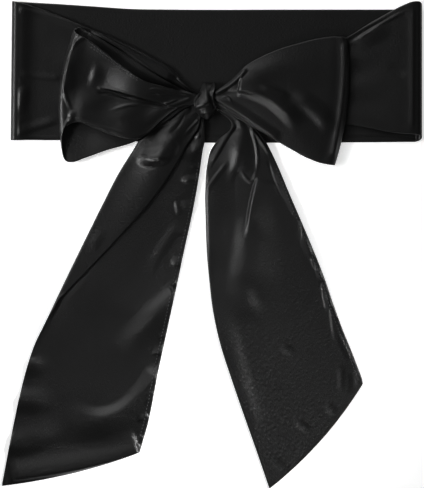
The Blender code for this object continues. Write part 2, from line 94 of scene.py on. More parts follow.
def lofted(sections, columns, gathers=0):
    """The middle of the doubled cloth, as rows of points across the ribbon."""
    known_at = positions_along(sections)
    rows = rows_between(known_at)
    table = smooth_between(known_at, np.array(sections, float), rows)
    across = np.linspace(0.0, 1.0, columns)[None, :]
    edge_a = table[:, None, 0:3]
    edge_b = table[:, None, 3:6]
    arch = table[:, 6:7]
    bulge = table[:, 7:8]
    gather = table[:, 8:9]
    grid = edge_a + (edge_b - edge_a) * across[:, :, None]
    hump = 4 * across * (1 - across)
    drift = 0.02 * rows[:, None]
    wave = np.cos(2 * math.pi * gathers * across + drift)
    grid[:, :, 2] += arch * hump + gather * wave
    span = (edge_b - edge_a)[:, 0, :2]
    span /= np.linalg.norm(span, axis=1, keepdims=True)
    grid[:, :, 0] += span[:, 1:2] * bulge * hump
    grid[:, :, 1] -= span[:, 0:1] * bulge * hump
    return grid


def eased(t):
    t = np.clip(t, 0.0, 1.0)
    return t * t * (3 - 2 * t)


def creased(grid, creases):
    """Adds each crease to the heights of the cloth."""
    x = grid[:, :, 0].copy()
    y = grid[:, :, 1].copy()
    t = np.linspace(0.0, 1.0, 19)[:, None]
    for crease in creases:
        start = np.array([crease.x0, crease.y0])
        middle = np.array([crease.x1, crease.y1])
        end = np.array([crease.x2, crease.y2])
        bend = 2 * middle - (start + end) / 2
        curve = (1 - t) ** 2 * start + 2 * t * (1 - t) * bend + t**2 * end
        widest = max(crease.left, crease.right)
        low = curve.min(axis=0) - widest
        high = curve.max(axis=0) + widest
        near = np.nonzero((x > low[0]) & (x < high[0]) & (y > low[1]) & (y < high[1]))
        nearest = np.full(len(near[0]), 1e9)
        side = np.zeros(len(near[0]))
        place = np.zeros(len(near[0]))
        for i in range(len(curve) - 1):
            ux, uy = curve[i + 1] - curve[i]
            px = x[near] - curve[i, 0]
            py = y[near] - curve[i, 1]
            share = np.clip((px * ux + py * uy) / (ux * ux + uy * uy), 0.0, 1.0)
            distance = np.hypot(px - share * ux, py - share * uy)
            closer = distance < nearest
            nearest[closer] = distance[closer]
            side[closer] = (ux * py - uy * px)[closer]
            place[closer] = ((i + share) / (len(curve) - 1))[closer]
        flank = np.clip(nearest / np.where(side > 0, crease.left, crease.right), 0.0, 1.0)
        rounded = 0.5 + 0.5 * np.cos(math.pi * flank)
        profile = rounded * (1 - crease.crest) + (1 - flank) * crease.crest
        fade = eased(place / crease.rise) * eased((1 - place) / crease.fall)
        grid[:, :, 2][near] += crease.height * fade * profile


def grid_normals(grid):
    normals = np.cross(np.gradient(grid, axis=0), np.gradient(grid, axis=1))
    return normals / np.maximum(np.linalg.norm(normals, axis=2, keepdims=True), 1e-9)


class HeightMap:
    """The highest middle of the layers laid so far, in squares of one millimetre."""

    half = 195  # squares on each side of the middle

    def __init__(self):
        self.tops = np.full((2 * self.half, 2 * self.half), -9.0)

    def raised_to(self, points):
        at = np.clip(np.round(points[..., :2]).astype(int) + self.half, 1, 2 * self.half - 2)
        np.maximum.at(self.tops, (at[..., 0], at[..., 1]), points[..., 2])

    def cover(self, grid):
        """Adds a layer. Points half-way between the mesh's count too, so that no square is missed."""
        self.raised_to(grid)
        for i in (0.0, 0.5):
            for j in (0.0, 0.5):
                rows = grid[:-1] * (1 - i) + grid[1:] * i
                self.raised_to(rows[:, :-1] * (1 - j) + rows[:, 1:] * j)

    def copied(self):
        other = HeightMap()
        other.tops = self.tops.copy()
        return other

    def softened(self, reach):
        """The heights spread out and smoothed, so that cloth bridges what it lies over."""
        found = np.maximum(self.tops, 0.5 * CLOTH - APART)
        shifts = range(-reach, reach + 1)
        for axis in (0, 1):
            found = np.max([np.roll(found, i, axis=axis) for i in shifts], axis=0)
        shifts = range(-reach // 2, reach // 2 + 1)
        for axis in (0, 1, 0, 1):
            found = np.mean([np.roll(found, i, axis=axis) for i in shifts], axis=0)
        return found


class Shade:
    """The output of a shader node, which can stand in an expression."""

    tree = None

    def __init__(self, socket):
        self.socket = socket

    @classmethod
    def node(cls, kind, settings=(), output=0, **inputs):
        """A new node. Sockets are named, or numbered as in0 and in1 where their names don't tell."""
        made = cls.tree.nodes.new(kind)
        for name, value in dict(settings).items():
            setattr(made, name, value)
        for name, value in inputs.items():
            key = int(name[2:]) if name.startswith("in") else name.replace("_", " ")
            if isinstance(value, Shade):
                cls.tree.links.new(value.socket, made.inputs[key])
            else:
                made.inputs[key].default_value = value
        return cls(made.outputs[output])

    def other(self, output):
        return Shade(self.socket.node.outputs[output])

    def feeds(self, shader, name):
        self.tree.links.new(self.socket, shader.inputs[name])

    def math(self, operation, *others):
        inputs = {f"in{i}": value for i, value in enumerate((self, *others))}
        return self.node("ShaderNodeMath", {"operation": operation}, **inputs)

    def __add__(self, other):
        return self.math("ADD", other)

    def __mul__(self, other):
        return self.math("MULTIPLY", other)

    def __sub__(self, other):
        return self.math("SUBTRACT", other)

    def __rsub__(self, other):
        return self.node("ShaderNodeMath", {"operation": "SUBTRACT"}, in0=other, in1=self)

    __radd__ = __add__
    __rmul__ = __mul__


def principled(name, colour):
    """A new material and its shader. The nodes made after it go to this material."""
    material = bpy.data.materials.new(name)
    material.use_nodes = True
    Shade.tree = material.node_tree
    shader = material.node_tree.nodes["Principled BSDF"]
    shader.inputs["Base Color"].default_value = (*colour, 1.0)
    return material, shader


def satin(name):
    """Black satin. Its long floats run along the ribbon and spread a light to both sides of them."""
    material, shader = principled(name, (0.003, 0.003, 0.003))
    shader.inputs["Specular IOR Level"].default_value = 0.5
    cloth = Shade.node("ShaderNodeUVMap", {"uv_map": "cloth"})
    along = Shade.node("ShaderNodeSeparateXYZ", in0=cloth)
    across = along.other("Y")

    # Each float leans a little to one side of its length.
    lean = 0.8
    floats = Shade.node("ShaderNodeCombineXYZ", X=along * 800.0, Y=across * 7000.0)
    streaks = Shade.node("ShaderNodeTexNoise", in0=floats, Scale=1.0, Detail=1.0, Roughness=0.6)
    leaning = Shade.node("ShaderNodeCombineXYZ", X=0.5, Y=(streaks - 0.5) * lean + 0.5, Z=1.0)
    tilted = Shade.node("ShaderNodeNormalMap", {"uv_map": "cloth"}, Color=leaning)

    # The threads' own grain, and the slanting lines of points where the floats are bound.
    repeat = 0.0016
    slant = (along * (math.pi / repeat) + across * (2 * math.pi / repeat)).math("SINE")
    bound = slant.math("ABSOLUTE").math("POWER", 6.0)
    grain = Shade.node("ShaderNodeTexNoise", in0=cloth, Scale=1900.0, Detail=1.0, Roughness=0.6)
    height = grain * 1.2 - bound * 0.25
    bump = Shade.node("ShaderNodeBump", Strength=0.3, Distance=0.00006, Height=height, Normal=tilted)
    bump.feeds(shader, "Normal")

    broad = Shade.node("ShaderNodeTexNoise", in0=cloth, Scale=45.0, Detail=3.0)
    roughness = grain * 0.08 + broad * 0.05 + 0.305
    roughness.feeds(shader, "Roughness")
    return material


SATIN = satin("black_satin")


def placed(name, mesh):
    thing = bpy.data.objects.new(name, mesh)
    bpy.context.scene.collection.objects.link(thing)
    return thing


def shell(name, grid, along, across):
    """Doubled cloth round a middle surface, with a rounded rim."""
    rows, columns = grid.shape[:2]
    count = rows * columns
    normals = grid_normals(grid)
    upper = grid + 0.5 * CLOTH * normals
    lower = grid - 0.5 * CLOTH * normals
    border = [(0, j) for j in range(columns)]
    border += [(i, columns - 1) for i in range(1, rows)]
    border += [(rows - 1, j) for j in range(columns - 2, -1, -1)]
    border += [(i, 0) for i in range(rows - 2, 0, -1)]
    i, j = np.array(border).T
    outward = grid[i, j] - grid[np.clip(i, 1, rows - 2), np.clip(j, 1, columns - 2)]
    outward /= np.maximum(np.linalg.norm(outward, axis=1, keepdims=True), 1e-9)
    rim = grid[i, j] + 0.45 * CLOTH * outward
    points = (np.concatenate([upper.reshape(-1, 3), lower.reshape(-1, 3), rim]) - MIDDLE) * MM

    a = (np.arange(rows - 1)[:, None] * columns + np.arange(columns - 1)).ravel()
    top = np.stack([a + columns, a + columns + 1, a + 1, a], axis=1)
    bottom = top[:, ::-1] + count
    first = i * columns + j
    second = np.roll(first, -1)
    on_rim = 2 * count + np.arange(len(border))
    next_on_rim = np.roll(on_rim, -1)
    rim_top = np.stack([next_on_rim, on_rim, first, second], axis=1)
    rim_low = np.stack([second + count, first + count, on_rim, next_on_rim], axis=1)
    faces = np.concatenate([top, bottom, rim_top, rim_low])

    mesh = bpy.data.meshes.new(name)
    mesh.from_pydata(points.tolist(), [], faces.tolist())
    mesh.polygons.foreach_set("use_smooth", np.ones(len(faces), bool))
    places = np.stack([along, across], axis=2).reshape(-1, 2)
    places = np.concatenate([places, places, places[first]]) * MM
    layer = mesh.uv_layers.new(name="cloth")
    corners = np.empty(len(mesh.loops), np.int32)
    mesh.loops.foreach_get("vertex_index", corners)
    layer.uv.foreach_set("vector", places[corners].astype(np.float32).ravel())
    mesh.materials.append(SATIN)
    return placed(name, mesh)


def cloth_places(sections, columns):
    """How far each point lies along and across the flat ribbon."""
    rows = rows_between(positions_along(sections))
    return np.meshgrid(rows, np.linspace(0.0, WIDTH, columns), indexing="ij")


def stretch(name, node, grid, places, tops):
    """Adds a stretch of the ribbon in place of its plain solid. Its flat size is in metres."""
    piece = shell(name, grid, *places)
    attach(piece, "root")
    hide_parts(node)
    tops.cover(grid)


BACK = [
    Section(-145.0, 179.3, 0.55, -145.0, 77.6, 0.55, 0, 0, 0),
    Section(-113.5, 177.5, 0.55, -113.5, 77.4, 0.55, 0, 0, 0),
    Section(-88.0, 175.8, 0.55, -88.0, 77.0, 0.55, 0, 0, 0),
    Section(-61.5, 174.0, 0.55, -61.5, 76.4, 0.55, 0, 0, 0),
    Section(-30.0, 173.5, 0.55, -30.0, 75.7, 0.55, 0, 0, 0),
    Section(60.0, 173.5, 0.55, 60.0, 75.4, 0.55, 0, 0, 0),
    Section(150.2, 173.5, 0.55, 150.2, 76.0, 0.55, 0, 0, 0),
]
BACK_CREASES = [
    Crease(-46.5, 81, -6, 81, 9.5, 81, 1.5, 1.5, 0.3, 0.2, 0.05, 0.05),
    Crease(-46.5, 79, -6, 79, 9.5, 79, 1.5, 1.3, -0.3, 0.2, 0.05, 0.05),
    Crease(90.5, 81, 124, 81, 155, 81, 1.5, 1.5, 0.3, 0.2, 0.05, 0.05),
    Crease(90.5, 79, 124, 79, 155, 79, 1.5, 1.3, -0.3, 0.2, 0.05, 0.05),
]
tops = HeightMap()
back = lofted(BACK, 96)
creased(back, BACK_CREASES)
stretch("band_back_satin", "band_back", back, cloth_places(BACK, 96), tops)

# The front of the band.
# Each stretch turns over at a side fold, lies on the back, and narrows in soft gathers to the knot.
FRONT_LEFT = [
    Section(-145.3, 179.4, 0.55, -145.3, 77.6, 0.55, 0, 0, 0),
    Section(-147.3, 179.6, 0.85, -148.2, 77.4, 0.85, 0, 0, 0),
    Section(-148.6, 179.7, 2.5, -149.6, 77.3, 2.3, 0, 0, 0),
    Section(-147.3, 179.5, 4.2, -148.4, 77.2, 3.9, 0, 0, 0),
    Section(-142.6, 178.4, 4.7, -143.8, 77.2, 4.3, 0, 0, 0),
    Section(-134.0, 176.0, 3.4, -135.0, 77.4, 3.0, 0, 0, 0),
    Section(-122.0, 171.8, 3.4, -122.0, 77.2, 2.8, 0, 0, 0),
    Section(-108.0, 166.2, 3.8, -108.0, 77.4, 3.0, 0, 0, 0.2),
    Section(-92.5, 159.5, 4.2, -90.0, 78.4, 3.0, 0, 0, 0.5),
    Section(-69.0, 150.0, 4.1, -66.0, 81.5, 2.3, 0, 0, 0.9),
    Section(-46.5, 138.5, 4.1, -44.0, 87.5, 2.3, 0, 0, 0.9),
    Section(-28.0, 127.0, 3.7, -27.0, 94.0, 2.3, 0, 0, 0.5),
    Section(-17.0, 115.5, 3.0, -17.0, 99.0, 2.3, 0, 0, 0.2),
    Section(-9.5, 110.5, 2.4, -9.5, 102.0, 2.3, 0, 0, 0),
]
FRONT_LEFT_CREASES = [
    Crease(-148.5, 175, -121, 169, -89.5, 157, 1.9, 5, 0.9, 0.2, 0.2, 0.1),
    Crease(-94, 158.5, -61.5, 143, -26.5, 126, 1.9, 2.2, 0.8, 0.3, 0.1, 0.1),
    Crease(-91, 157, -60, 141, -26, 123, 2.2, 15, 2.4, 0.8, 0.15, 0.1),
    Crease(-27.5, 124.5, -21, 118, -13.5, 111, 1.3, 1.3, 1, 0.4, 0.2, 0.2),
    Crease(-81, 150.5, -61.5, 141, -38, 122.5, 1.1, 1.1, 0.3, 0.5, 0.2, 0.2),
    Crease(-143, 127, -134, 124, -112, 122, 5, 1.9, 0.5, 0.2, 0.4, 0.1),
    Crease(-149, 130, -146, 124.5, -138, 117, 1.9, 2.2, 0.35, 0.2, 0.3, 0.4),
    Crease(-141.5, 118, -141.5, 108.5, -146, 93.5, 6.5, 6, 1, 0, 0.4, 0.4),
    Crease(-146, 96.5, -147, 87, -146, 78.5, 6.5, 3, 0.7, 0, 0.3, 0.1),
    Crease(-145.5, 81, -134, 85.5, -112, 92, 6.5, 3, 0.7, 0.2, 0.3, 0.2),
    Crease(-144.5, 79, -128.5, 79, -112, 79, 0.9, 0.7, 0.35, 0.3, 0.1, 0.1),
]


def row_of(sections, number):
    """The mesh's row at a section."""
    known_at = positions_along(sections)
    return int(np.argmin(np.abs(rows_between(known_at) - known_at[number])))


def laid_on(grid, tops, reach=3):
    """Raises the points so that they clear what lies under them. It returns how far each was raised."""
    field = tops.softened(reach) + APART
    x = np.clip(grid[:, :, 0] + tops.half, 0, 2 * tops.half - 2)
    y = np.clip(grid[:, :, 1] + tops.half, 0, 2 * tops.half - 2)
    i = x.astype(int)
    j = y.astype(int)
    clear = (
        field[i, j] * (1 - x + i) * (1 - y + j)
        + field[i + 1, j] * (x - i) * (1 - y + j)
        + field[i, j + 1] * (1 - x + i) * (y - j)
        + field[i + 1, j + 1] * (x - i) * (y - j)
    )
    before = grid[:, :, 2].copy()
    blend = 0.04
    grid[:, :, 2] = 0.5 * (clear + before + np.sqrt((clear - before) ** 2 + blend))
    return grid[:, :, 2] - before


def front(sections, columns, gathers, creases, upper_section, tops):
    """A stretch whose upper layer, past the side fold, is creased and laid on what is under it."""
    upper_from = row_of(sections, upper_section)
    grid = lofted(sections, columns, gathers)
    creased(grid[upper_from:], creases)
    laid_on(grid[upper_from:], tops)
    return grid


grid = front(FRONT_LEFT, 100, 3, FRONT_LEFT_CREASES, 4, tops)
stretch("band_front_left_satin", "band_front_left", grid, cloth_places(FRONT_LEFT, 100), tops)

FRONT_RIGHT = [
    Section(150.5, 173.6, 0.55, 150.5, 76.1, 0.55, 0, 0, 0),
    Section(153.2, 174.8, 0.85, 153.0, 77.0, 0.85, 0, 0, 0),
    Section(154.6, 176.8, 2.6, 154.6, 78.6, 2.5, 0, 0, 0),
    Section(153.6, 178.9, 4.9, 153.5, 80.6, 4.6, 0, 0, 0),
    Section(148.8, 179.3, 5.8, 148.2, 81.6, 5.4, 0, 0, 0),
    Section(140.5, 176.4, 5.6, 140.0, 82.2, 5.1, 0, 0, 0),
    Section(130.0, 171.0, 5.1, 130.0, 83.4, 4.4, 0, 0, 0),
    Section(118.0, 164.5, 4.4, 118.0, 86.0, 3.4, 0, 0, 0.2),
    Section(100.0, 153.3, 3.4, 99.5, 89.0, 2.3, 0, 0, 0.4),
    Section(72.0, 143.0, 3.5, 72.0, 91.0, 2.3, 0, 0, 0.8),
    Section(45.0, 134.0, 3.6, 45.0, 95.0, 2.3, 0, 0, 0.8),
    Section(22.0, 120.0, 3.3, 20.0, 98.5, 2.3, 0, 0, 0.4),
    Section(9.0, 112.0, 2.8, 9.0, 101.0, 2.3, 0, 0, 0.2),
    Section(-1.5, 109.5, 2.4, -1.5, 103.0, 2.3, 0, 0, 0),
]
FRONT_RIGHT_CREASES = [
    Crease(100, 153, 115, 161.5, 134, 171.5, 1.9, 2.2, 0.6, 0.4, 0.2, 0.3),
    Crease(107.5, 151.5, 124, 162.5, 144.5, 173, 1.9, 1.5, 0.7, 0.5, 0.2, 0.3),
    Crease(98.5, 145.5, 113.5, 154.5, 132.5, 164.5, 3, 11, 1.5, 0.1, 0.5, 0.4),
    Crease(128.5, 133.5, 137, 128.5, 143, 123, 5, 5, -0.5, 0.1, 0.4, 0.4),
    Crease(150, 176.5, 150, 129, 150, 83, 1.9, 6.5, 0.8, 0.2, 0.1, 0.1),
]
grid = front(FRONT_RIGHT, 100, 3, FRONT_RIGHT_CREASES, 4, tops)
stretch("band_front_right_satin", "band_front_right", grid, cloth_places(FRONT_RIGHT, 100), tops)

# The left tail.
# It comes down from the knot, and its left part is turned over on top along a fold that runs out
# at the edge. Its seam is on the right, where the thread draws it up in small puckers.
TAIL_LEFT = [
    Section(-13.5, 105.5, 4.2, -7.0, 98.0, 4.2, 0, 0, 0),
    Section(-22.0, 102.5, 4.0, -6.6, 90.5, 4.0, 0.4, 0, 0.3),
    Section(-33.0, 97.6, 3.8, -6.2, 83.5, 3.8, 0.8, 0, 0.6),
    Section(-43.5, 90.5, 3.6, -6.3, 76.5, 3.6, 1.4, 0, 0.8),
    Section(-52.5, 79.5, 2.8, -7.6, 70.5, 3.2, 2.6, 0, 0.8),
    Section(-60.0, 67.5, 1.4, -8.8, 63.0, 2.4, 3.2, 0, 0.7),
    Section(-67.5, 55.8, 0.8, -10.1, 53.5, 1.6, 1.8, 0, 0.5),
    Section(-81.3, 29.5, 0.7, -15.0, 26.0, 1.6, 0.4, 0, 0.2),
    Section(-96.1, -0.5, 0.7, -21.5, -4.0, 1.4, 0.2, 0, 0),
    Section(-112.9, -35.0, 0.7, -30.2, -45.0, 1.4, 0, 0, 0),
    Section(-123.8, -58.0, 0.8, -37.0, -76.0, 1.2, 0, 0, 0),
    Section(-131.9, -74.5, 0.9, -41.3, -96.0, 1.2, 0, 0, 0),
    Section(-138.2, -93.5, 1.0, -44.6, -114.0, 1.2, 0, 0, 0),
    Section(-143.7, -115.5, 1.0, -48.3, -132.0, 1.1, 0, 0.8, 0),
    Section(-150.1, -146.5, 0.8, -52.4, -146.5, 0.9, 0, 2.0, 0),
    Section(-156.3, -179.0, 0.7, -54.6, -154.3, 0.7, 0, 3.3, 0),
]
# How wide the turned-over part is at each section. Below zero the fold has run out.
TAIL_LEFT_FLAP = [7, 16, 25, 31, 34, 36.5, 37.5, 32, 20, 4, -6, -14, -18, -20, -20, -20]
TAIL_LEFT_CREASES = [
    Crease(-18.5, 77, -58.5, 21.5, -125.5, -67.5, 37, 59.5, 2.6, 0.6, 0.15, 0.2),
    Crease(-22, 16.5, -35.5, -0.5, -49.5, -26.5, 5, 6.5, 0.7, 0, 0.3, 0.4),
    Crease(-26.5, -38.5, -45, -55, -75, -86, 19.5, 12.5, 4, 0.2, 0.04, 0.6),
    Crease(-38.5, -89.5, -73.5, -127.5, -113.5, -118.5, 23.5, 10.5, 3.8, 0.1, 0.08, 0.45),
    Crease(-150.5, -175, -95, -165.5, -52.5, -153, 19.5, 2.2, 3.4, 0, 0.05, 0.05),
    Crease(-144, -115, -132.5, -115.5, -113.5, -110, 12.5, 12.5, 2, 0, 0.02, 0.6),
    Crease(-150.5, -147.5, -132.5, -145.5, -106, -129, 16.5, 12, 2.4, 0, 0.02, 0.5),
    Crease(-138.5, -88.5, -131.5, -88.5, -121, -83, 6.5, 12, 1.5, 0, 0.05, 0.6),
]
TAIL_LEFT_SEAM_CREASES = [
    Crease(-9.5, 47.5, -17, 46.5, -25, 47.5, 2.2, 6.5, 1.5, 0.1, 0.15, 0.45),
    Crease(-12, 27.5, -19.5, 27.5, -27.5, 29, 2.2, 6, 1.3, 0.1, 0.15, 0.45),
    Crease(-25, 21, -26.5, 26.5, -27.5, 33.5, 2.2, 3.7, 0.7, 0, 0.3, 0.3),
    Crease(-8, 69.5, -12, 69.5, -16.5, 69, 2.2, 6.5, 1.1, 0.1, 0.15, 0.4),
    Crease(-9.5, 80, -11, 79.5, -13.5, 78.5, 1.5, 3.7, 0.8, 0.2, 0.05, 0.45),
    Crease(-10.5, 58, -13.5, 57, -18, 58, 1.5, 3.7, 0.6, 0.1, 0.15, 0.4),
    Crease(-18.5, 9, -23, 8, -27.5, 6.5, 1.5, 3.7, 0.6, 0.1, 0.15, 0.4),
    Crease(-21.5, -14, -26.5, -15, -32.5, -14, 2.2, 8, 1.5, 0, 0.15, 0.45),
    Crease(-26, -29.5, -30.5, -30.5, -35, -31, 1.5, 4.5, 0.6, 0.1, 0.15, 0.4),
    Crease(-35, -80, -40, -81, -46, -80, 2.2, 6.5, 1.3, 0.1, 0.15, 0.4),
    Crease(-32.5, -67.5, -37, -69, -41, -70.5, 1.5, 4.5, 0.7, 0.1, 0.15, 0.4),
    Crease(-40, -90.5, -44, -99.5, -52, -110, 1.5, 2.2, 0.9, 0.2, 0.1, 0.4),
    Crease(-41, -99.5, -45, -107, -49.5, -114, 1.5, 1.9, 0.7, 0.3, 0.05, 0.4),
    Crease(-44, -110, -46.5, -114, -50.5, -120, 1.5, 3, 0.7, 0.3, 0.05, 0.4),
    Crease(-47.5, -127.5, -52, -130, -57, -130, 2.2, 5, 1, 0.1, 0.05, 0.45),
    Crease(-52, -142.5, -55, -145.5, -58.5, -147.5, 2.2, 3.7, 0.8, 0.2, 0.05, 0.45),
]
TAIL_LEFT_FLAP_CREASES = [
    Crease(-17, 102.5, -26, 92.5, -38, 80, 4.5, 4.5, 1.3, 0.1, 0.15, 0.25),
    Crease(-20, 98, -23.5, 91, -28, 84, 1.2, 1.2, -0.6, 0.3, 0.3, 0.3),
    Crease(-56.5, 65.5, -44, 62.5, -30.5, 67.5, 10.5, 6.5, 3.4, 0, 0.4, 0.35),
    Crease(-30.5, 77, -27.5, 71, -30.5, 65.5, 3, 3, -0.5, 0.1, 0.4, 0.4),
    Crease(-10.5, 92, -15, 87, -21.5, 80, 1.1, 1.9, 0.8, 0.4, 0.1, 0.3),
    Crease(-81, 13.5, -86, 3, -92.5, -6, 6, 6, 0.4, 0, 0.4, 0.4),
]
TURN_RADIUS = 1.1
FLAP_FULL = 4.0  # at this width and over, the flap is turned right over
FLAP_GONE = -14.0  # at this width and under, the cloth is flat
ARC_STEPS = 10
FLAP_STEPS = 34
FLAP_COLUMNS = 40  # the flap and the start of its turn, which take the flap's own creases


def turned_edge(flap):
    """Across and up for each point of the turned edge, from the flap's free edge to the main layer."""
    opened = np.clip((flap - FLAP_GONE) / (FLAP_FULL - FLAP_GONE), 0.0, 1.0)
    step = math.pi * TURN_RADIUS / ARC_STEPS
    across = [0.0]
    up = [0.0]
    for i in range(ARC_STEPS):
        heading = math.pi * opened * (i + 0.5) / ARC_STEPS
        across.append(across[-1] - step * math.cos(heading))
        up.append(up[-1] + step * math.sin(heading))
    heading = math.pi * opened
    step = max(flap - TURN_RADIUS, 0.8) / FLAP_STEPS
    for _ in range(FLAP_STEPS):
        across.append(across[-1] - step * math.cos(heading))
        up.append(up[-1] + step * math.sin(heading))
    across = np.array(across[::-1])
    return across - across.min(), np.array(up[::-1])


def with_flap(sheet, flaps, columns):
    """The sheet with its left edge turned over on top, by the width that is given for each row."""
    rows = []
    for row, flap in zip(sheet, flaps):
        edge_across, edge_up = turned_edge(flap)
        lengths = np.linalg.norm(np.diff(row, axis=0), axis=1)
        known_at = np.concatenate([[0.0], np.cumsum(lengths)])
        main = np.linspace(edge_across[-1], known_at[-1], columns)[1:]
        across = np.concatenate([edge_across, main])
        up = np.concatenate([edge_up, np.zeros(len(main))])
        points = np.stack([np.interp(across, known_at, row[:, axis]) for axis in range(3)], axis=1)
        points[:, 2] += up
        rows.append(points)
    return np.array(rows)


sheet = lofted(TAIL_LEFT, 104, 2)
creased(sheet, TAIL_LEFT_CREASES + TAIL_LEFT_SEAM_CREASES)
laid_on(sheet, tops)
known_at = positions_along(TAIL_LEFT)
flaps = smooth_between(known_at, np.array(TAIL_LEFT_FLAP, float)[:, None], rows_between(known_at))
grid = with_flap(sheet, flaps[:, 0], 92)
creased(grid[:, :FLAP_COLUMNS], TAIL_LEFT_FLAP_CREASES)
lengths = np.linalg.norm(np.diff(grid, axis=1), axis=2)
across = np.concatenate([np.zeros((len(grid), 1)), np.cumsum(lengths, axis=1)], axis=1)
along = np.repeat(rows_between(known_at)[:, None], across.shape[1], axis=1)
stretch("tail_left_satin", "tail_left", grid, (along, across), tops)


def thread(name):
    """Black sewing thread, with a fine twist."""
    material, shader = principled(name, (0.045, 0.045, 0.047))
    place = Shade.node("ShaderNodeTexCoord", output="Object")
    fibres = Shade.node("ShaderNodeTexNoise", in0=place, Scale=9000.0, Detail=2.0)
    bump = Shade.node("ShaderNodeBump", Strength=0.5, Distance=0.00004, Height=fibres)
    bump.feeds(shader, "Normal")
    roughness = fibres * 0.2 + 0.35
    roughness.feeds(shader, "Roughness")
    return material


THREAD = thread("black_thread")


def sewn(name, path, normals):
    """A row of short stitches along a line on the cloth. Each is five rings of six points."""
    pitch = 2.6
    length = 1.7
    radius = 0.32
    heights = np.array([-0.2, 0.06, 0.12, 0.06, -0.2]) + CLOTH / 2
    shares = [0.4, 0.9, 1.0, 0.9, 0.4]
    turn = np.linspace(0.0, 2 * math.pi, 6, endpoint=False)
    gone = np.concatenate([[0.0], np.cumsum(np.linalg.norm(np.diff(path, axis=0), axis=1))])
    points = []
    faces = []
    for start in np.arange(pitch, gone[-1] - 2 * pitch, pitch):
        at = start + np.linspace(0.0, length, 5)
        middle = np.stack([np.interp(at, gone, path[:, axis]) for axis in range(3)], axis=1)
        up = np.stack([np.interp(at, gone, normals[:, axis]) for axis in range(3)], axis=1)
        up /= np.linalg.norm(up, axis=1, keepdims=True)
        up *= np.sign(up[:, 2:])
        side = np.cross(middle[-1] - middle[0], up)
        side /= np.linalg.norm(side, axis=1, keepdims=True)
        middle += up * heights[:, None]
        first = len(points)
        for centre, out, rise, share in zip(middle, side, up, shares):
            ring = np.outer(np.cos(turn), out) + np.outer(np.sin(turn), rise)
            points.extend((centre + radius * share * ring - MIDDLE) * MM)
        for ring in range(first, first + 24, 6):
            for k in range(6):
                after = (k + 1) % 6
                faces.append((ring + 6 + k, ring + 6 + after, ring + after, ring + k))
        faces.append(tuple(range(first, first + 6)))
        faces.append(tuple(range(first + 29, first + 23, -1)))
    mesh = bpy.data.meshes.new(name)
    mesh.from_pydata([tuple(point) for point in points], [], faces)
    mesh.polygons.foreach_set("use_smooth", np.ones(len(faces), bool))
    mesh.materials.append(THREAD)
    piece = placed(name, mesh)
    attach(piece, "root")


seam = slice(row_of(TAIL_LEFT, 5), row_of(TAIL_LEFT, 14))
sewn("tail_left_stitches", grid[seam, -4], grid_normals(grid)[seam, -4])

# The right tail.
# It leaves the knot under the right loop, opens out over the band's edge and lies on the table.
TAIL_RIGHT = [
    Section(0.5, 101.0, 4.2, 2.5, 105.0, 4.2, 0, 0, 0),
    Section(8.5, 95.5, 4.0, 13.5, 101.0, 4.0, 0.2, 0, 0),
    Section(14.0, 89.5, 3.8, 25.0, 93.5, 3.8, 0.4, 0, 0.2),
    Section(12.5, 84.0, 3.6, 32.0, 85.5, 3.6, 0.6, 0, 0.3),
    Section(5.5, 78.5, 3.4, 37.5, 78.0, 3.4, 0.8, 0, 0.3),
    Section(-1.0, 70.0, 3.4, 42.2, 69.5, 3.8, 1.0, 0, 0.2),
    Section(-4.0, 58.5, 3.2, 47.4, 58.5, 3.6, 0.8, 0, 0),
    Section(-5.5, 40.0, 3.0, 55.2, 40.0, 3.6, 0.5, 0, 0),
    Section(-5.2, 18.0, 2.8, 64.6, 18.0, 3.8, 0.3, 0, 0),
    Section(-4.4, -4.5, 2.6, 73.9, -4.0, 4.0, 0, 0, 0),
    Section(-2.5, -26.5, 2.2, 82.2, -25.0, 4.0, 0, 0, 0),
    Section(0.2, -49.0, 1.7, 89.0, -45.0, 3.6, 0, 0, 0),
    Section(5.9, -75.0, 1.1, 96.0, -64.0, 3.2, 0, 0, 0),
    Section(14.3, -101.0, 0.7, 102.0, -78.5, 2.8, 0, 0, 0),
    Section(24.5, -130.5, 0.7, 107.0, -91.5, 2.4, 0, 1.0, 0),
    Section(34.0, -157.5, 0.7, 110.0, -99.5, 2.0, 0, 2.8, 0),
    Section(42.0, -181.0, 0.7, 110.9, -103.6, 1.6, 0, 4.6, 0),
]
TAIL_RIGHT_CREASES = [
    Crease(17, 89, 8, 75.5, -4.5, 53.5, 2.2, 3.7, 1, 0.2, 0.15, 0.3),
    Crease(12, 62.5, 3, 51, -4.5, 41, 3, 1.9, 0.7, 0.3, 0.3, 0.1),
    Crease(20, 77, 17, 61, 9.5, 40, 4.5, 4.5, 0.5, 0, 0.3, 0.4),
    Crease(27.5, 86, 32.5, 69.5, 32.5, 53.5, 1.9, 1.6, 1.1, 0.5, 0.2, 0.3),
    Crease(32.5, 56.5, 28, 46.5, 19.5, 56.5, 1.8, 1.6, 1, 0.5, 0.3, 0.3),
    Crease(21, 86, 21.5, 69.5, 21, 52, 9.5, 12, 1.2, 0, 0.3, 0.2),
    Crease(33.5, 50.5, 28, 26.5, 25, 3, 22, 1.9, 2.3, 0.3, 0.08, 0.4),
    Crease(29, 28, 25, -6, 20, -43, 29.5, 15, 2, 0.1, 0.4, 0.35),
    Crease(20, -26.5, 24.5, -43, 32, -58, 12, 16.5, 1, 0, 0.4, 0.4),
    Crease(-3.5, 62.5, -3.5, 21.5, -1.5, -26.5, 21, 3, 1.6, 0.1, 0.2, 0.3),
    Crease(6.5, -38.5, 18.5, -93.5, 38, -155.5, 9.5, 18, 0.5, 0, 0.4, 0.4),
    Crease(28, 85.5, 36.5, 75, 42.5, 64.5, 1.5, 2.2, 0.9, 0.3, 0.1, 0.3),
]
